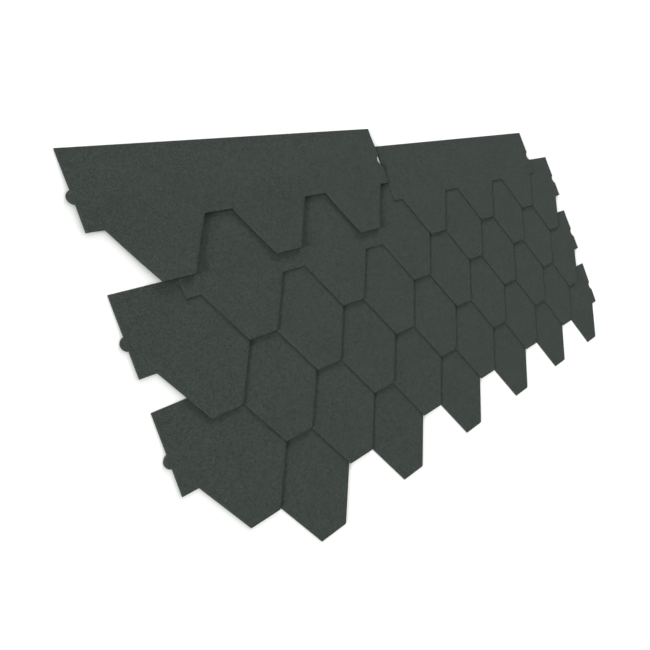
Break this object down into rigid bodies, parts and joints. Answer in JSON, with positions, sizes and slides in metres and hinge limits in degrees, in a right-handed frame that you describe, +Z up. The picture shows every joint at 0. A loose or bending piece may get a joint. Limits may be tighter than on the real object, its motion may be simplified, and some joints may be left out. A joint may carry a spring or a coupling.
{
  "type": "hexagonal asphalt shingle strips, lapped set",
  "caption": "Lapped set of hexagonal-tab asphalt roofing shingle strips with mineral granule faces, laid flat, the top left strip loose.",
  "frame": {"origin": "under the middle of the set's box, on the floor that it lies on", "axes": "+X along the courses, the longest way; +Y up the slope, from the tabs to the top edges; +Z up, through the thickness"},
  "size_m": [2.1826, 1.0688, 0.015],
  "materials": {
    "granules": "matte mineral granules in dark green-grey, bedded in bitumen"
  },
  "bodies": {
    "root": {"course_1_left": "granules", "course_1_right": "granules", "course_2_left": "granules", "course_2_right": "granules", "course_3_left": "granules", "course_3_right": "granules", "course_4_left": "granules", "course_4_right": "granules", "course_5_left": "granules", "course_5_right": "granules", "course_6_left": "granules", "course_6_right": "granules"}
  },
  "joints": []
}
